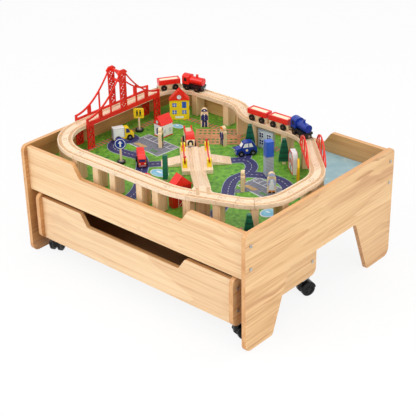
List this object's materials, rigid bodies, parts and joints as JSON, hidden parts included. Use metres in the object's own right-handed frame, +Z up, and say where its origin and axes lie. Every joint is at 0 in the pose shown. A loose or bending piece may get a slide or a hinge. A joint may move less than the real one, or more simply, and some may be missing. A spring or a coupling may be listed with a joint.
{
  "type": "train table",
  "caption": "Low wooden play table with a printed board, a raised railway loop with bridge and crossing, toys, and a trundle drawer on castors underneath.",
  "frame": {"origin": "on the floor under the middle of the table", "axes": "+X along the table's long side, +Y from the drawer side to the back, +Z up"},
  "size_m": [0.7748, 0.61, 0.449],
  "materials": {
    "pine": "satin lacquered pine panel with straight grain",
    "printed_board": "thin fibreboard with a printed play map",
    "bolt_steel": "zinc plated",
    "dark_steel": "black coated",
    "plate_steel": "zinc plated sheet",
    "castor_plastic": "black moulded",
    "castor_wheel": "black moulded",
    "track_wood": "sanded beech",
    "post_yellow": "moulded",
    "barrier_red": "moulded",
    "bridge_red": "moulded",
    "engine_red": "gloss painted",
    "engine_blue": "gloss painted",
    "wagon_red": "gloss painted with a bare load",
    "axle_black": "moulded",
    "toy_yellow": "gloss painted",
    "toy_red": "gloss painted",
    "toy_blue": "gloss painted",
    "building_paint": "painted blocks",
    "tree_green": "painted",
    "sign_paint": "painted",
    "figure_wood": "natural with print"
  },
  "bodies": {
    "table": {"left_end_panel": "pine", "right_end_panel": "pine", "front_panel": "pine", "back_panel": "pine", "play_board": "printed_board", "board_cleats": "pine", "table_bolts": "bolt_steel", "table_barrel_nuts": "bolt_steel", "track_straights": "track_wood", "track_curves": "track_wood", "track_junction": "track_wood", "track_ramp": "track_wood", "track_piers": "track_wood", "level_crossing": "track_wood", "barrier_posts": "post_yellow", "bridge_left_side": "bridge_red", "bridge_right_side": "bridge_red", "bridge_deck": "track_wood", "bow_rails": "bridge_red", "delivery_truck": "toy_yellow", "box_truck": "toy_red", "blue_car": "toy_blue", "ladder_truck": "toy_red", "toy_buildings": "building_paint", "toy_trees": "tree_green", "road_signs": "sign_paint", "toy_figures": "figure_wood"},
    "drawer": {"drawer_front": "pine", "drawer_back": "pine", "drawer_left_side": "pine", "drawer_right_side": "pine", "drawer_bottom": "pine", "drawer_bolts": "dark_steel", "drawer_barrel_nuts": "bolt_steel", "castor_plates": "plate_steel"},
    "castor_front_left": {"castor_hood_front_left": "castor_plastic"},
    "castor_pair_front_left": {"castor_wheels_front_left": "castor_wheel"},
    "castor_rear_left": {"castor_hood_rear_left": "castor_plastic"},
    "castor_pair_rear_left": {"castor_wheels_rear_left": "castor_wheel"},
    "castor_front_right": {"castor_hood_front_right": "castor_plastic"},
    "castor_pair_front_right": {"castor_wheels_front_right": "castor_wheel"},
    "castor_rear_right": {"castor_hood_rear_right": "castor_plastic"},
    "castor_pair_rear_right": {"castor_wheels_rear_right": "castor_wheel"},
    "left_barrier": {"left_barrier_arm": "barrier_red"},
    "right_barrier": {"right_barrier_arm": "barrier_red"},
    "red_engine": {"red_engine": "engine_red"},
    "red_engine_front_wheels": {"red_engine_front_axle": "axle_black"},
    "red_engine_rear_wheels": {"red_engine_rear_axle": "axle_black"},
    "red_wagon": {"red_wagon": "wagon_red"},
    "red_wagon_front_wheels": {"red_wagon_front_axle": "axle_black"},
    "red_wagon_rear_wheels": {"red_wagon_rear_axle": "axle_black"},
    "blue_engine": {"blue_engine": "engine_blue"},
    "blue_engine_front_wheels": {"blue_engine_front_axle": "axle_black"},
    "blue_engine_rear_wheels": {"blue_engine_rear_axle": "axle_black"},
    "middle_wagon": {"middle_wagon": "wagon_red"},
    "middle_wagon_front_wheels": {"middle_wagon_front_axle": "axle_black"},
    "middle_wagon_rear_wheels": {"middle_wagon_rear_axle": "axle_black"},
    "tail_wagon": {"tail_wagon": "wagon_red"},
    "tail_wagon_front_wheels": {"tail_wagon_front_axle": "axle_black"},
    "tail_wagon_rear_wheels": {"tail_wagon_rear_axle": "axle_black"}
  },
  "joints": [
    {"name": "drawer_slide", "type": "slide", "parent": "table", "child": "drawer", "axis": [0, -1, 0], "range_m": [-0.2, 0.5]},
    {"name": "castor_swivel_front_left", "type": "hinge", "parent": "drawer", "child": "castor_front_left", "pos_m": [-0.3265, -0.265, 0.047], "axis": [0, 0, 1], "continuous": true},
    {"name": "castor_roll_front_left", "type": "hinge", "parent": "castor_front_left", "child": "castor_pair_front_left", "pos_m": [-0.33174, -0.25202, 0.019], "axis": [0.9272, 0.3746, 0], "continuous": true},
    {"name": "castor_swivel_rear_left", "type": "hinge", "parent": "drawer", "child": "castor_rear_left", "pos_m": [-0.3265, -0.011, 0.047], "axis": [0, 0, 1], "continuous": true},
    {"name": "castor_roll_rear_left", "type": "hinge", "parent": "castor_rear_left", "child": "castor_pair_rear_left", "pos_m": [-0.33174, 0.00198, 0.019], "axis": [0.9272, 0.3746, 0], "continuous": true},
    {"name": "castor_swivel_front_right", "type": "hinge", "parent": "drawer", "child": "castor_front_right", "pos_m": [0.3265, -0.265, 0.047], "axis": [0, 0, 1], "continuous": true},
    {"name": "castor_roll_front_right", "type": "hinge", "parent": "castor_front_right", "child": "castor_pair_front_right", "pos_m": [0.33174, -0.25202, 0.019], "axis": [0.9272, -0.3746, 0], "continuous": true},
    {"name": "castor_swivel_rear_right", "type": "hinge", "parent": "drawer", "child": "castor_rear_right", "pos_m": [0.3265, -0.011, 0.047], "axis": [0, 0, 1], "continuous": true},
    {"name": "castor_roll_rear_right", "type": "hinge", "parent": "castor_rear_right", "child": "castor_pair_rear_right", "pos_m": [0.33174, 0.00198, 0.019], "axis": [0.9272, -0.3746, 0], "continuous": true},
    {"name": "left_barrier_lift", "type": "hinge", "parent": "table", "child": "left_barrier", "pos_m": [-0.02756, -0.05329, 0.286], "axis": [0.7071, 0.7071, 0], "range_deg": [0, 80]},
    {"name": "right_barrier_lift", "type": "hinge", "parent": "table", "child": "right_barrier", "pos_m": [-0.05443, 0.06409, 0.286], "axis": [-0.7071, -0.7071, 0], "range_deg": [0, 80]},
    {"name": "red_engine_run", "type": "hinge", "parent": "table", "child": "red_engine", "pos_m": [-0.255, 0.165, 0.3393], "axis": [0, 0, -1], "range_deg": [-18, 4]},
    {"name": "red_wagon_run", "type": "hinge", "parent": "table", "child": "red_wagon", "pos_m": [-0.255, 0.165, 0.3393], "axis": [0, 0, -1], "range_deg": [-18, 4]},
    {"name": "blue_engine_run", "type": "hinge", "parent": "table", "child": "blue_engine", "pos_m": [0.12992, 0.09, 0.3393], "axis": [0, 0, -1], "range_deg": [-2.5, 15]},
    {"name": "middle_wagon_run", "type": "slide", "parent": "table", "child": "middle_wagon", "axis": [1, 0, 0], "range_m": [-0.00475, 0.02846]},
    {"name": "tail_wagon_run", "type": "slide", "parent": "table", "child": "tail_wagon", "axis": [1, 0, 0], "range_m": [-0.00475, 0.02846]},
    {"name": "red_engine_front_roll", "type": "hinge", "parent": "red_engine", "child": "red_engine_front_wheels", "pos_m": [-0.25061, 0.25589, 0.3393], "axis": [-0.1392, 0.9903, 0], "range_deg": [-180, 41]},
    {"name": "red_engine_rear_roll", "type": "hinge", "parent": "red_engine", "child": "red_engine_rear_wheels", "pos_m": [-0.28428, 0.25116, 0.3393], "axis": [-0.1392, 0.9903, 0], "range_deg": [-180, 41]},
    {"name": "red_wagon_front_roll", "type": "hinge", "parent": "red_wagon", "child": "red_wagon_front_wheels", "pos_m": [-0.32126, 0.22737, 0.3393], "axis": [-0.8434, 0.5373, 0], "range_deg": [-180, 41]},
    {"name": "red_wagon_rear_roll", "type": "hinge", "parent": "red_wagon", "child": "red_wagon_rear_wheels", "pos_m": [-0.33953, 0.1987, 0.3393], "axis": [-0.8434, 0.5373, 0], "range_deg": [-180, 41]},
    {"name": "blue_engine_front_roll", "type": "hinge", "parent": "blue_engine", "child": "blue_engine_front_wheels", "pos_m": [0.18307, 0.18631, 0.3393], "axis": [0.342, 0.9397, 0], "range_deg": [-32, 183]},
    {"name": "blue_engine_rear_roll", "type": "hinge", "parent": "blue_engine", "child": "blue_engine_rear_wheels", "pos_m": [0.15112, 0.19794, 0.3393], "axis": [0.342, 0.9397, 0], "range_deg": [-32, 183]},
    {"name": "middle_wagon_front_roll", "type": "hinge", "parent": "middle_wagon", "child": "middle_wagon_front_wheels", "pos_m": [0.10892, 0.2, 0.3393], "axis": [0, 1, 0], "range_deg": [-32, 183]},
    {"name": "middle_wagon_rear_roll", "type": "hinge", "parent": "middle_wagon", "child": "middle_wagon_rear_wheels", "pos_m": [0.07492, 0.2, 0.3393], "axis": [0, 1, 0], "range_deg": [-32, 183]},
    {"name": "tail_wagon_front_roll", "type": "hinge", "parent": "tail_wagon", "child": "tail_wagon_front_wheels", "pos_m": [0.03592, 0.2, 0.3393], "axis": [0, 1, 0], "range_deg": [-32, 183]},
    {"name": "tail_wagon_rear_roll", "type": "hinge", "parent": "tail_wagon", "child": "tail_wagon_rear_wheels", "pos_m": [0.00192, 0.2, 0.3393], "axis": [0, 1, 0], "range_deg": [-32, 183]}
  ],
  "couplings": [
    {"joint": "red_wagon_run", "follows": "red_engine_run", "ratio": 1},
    {"joint": "middle_wagon_run", "follows": "blue_engine_run", "m_per_rad": 0.10868},
    {"joint": "tail_wagon_run", "follows": "blue_engine_run", "m_per_rad": 0.10868},
    {"joint": "red_engine_front_roll", "follows": "red_engine_run", "ratio": 9.9331},
    {"joint": "red_engine_rear_roll", "follows": "red_engine_run", "ratio": 9.9331},
    {"joint": "red_wagon_front_roll", "follows": "red_engine_run", "ratio": 9.9331},
    {"joint": "red_wagon_rear_roll", "follows": "red_engine_run", "ratio": 9.9331},
    {"joint": "blue_engine_front_roll", "follows": "blue_engine_run", "ratio": 12.075},
    {"joint": "blue_engine_rear_roll", "follows": "blue_engine_run", "ratio": 12.075},
    {"joint": "middle_wagon_front_roll", "follows": "blue_engine_run", "ratio": 12.075},
    {"joint": "middle_wagon_rear_roll", "follows": "blue_engine_run", "ratio": 12.075},
    {"joint": "tail_wagon_front_roll", "follows": "blue_engine_run", "ratio": 12.075},
    {"joint": "tail_wagon_rear_roll", "follows": "blue_engine_run", "ratio": 12.075}
  ]
}
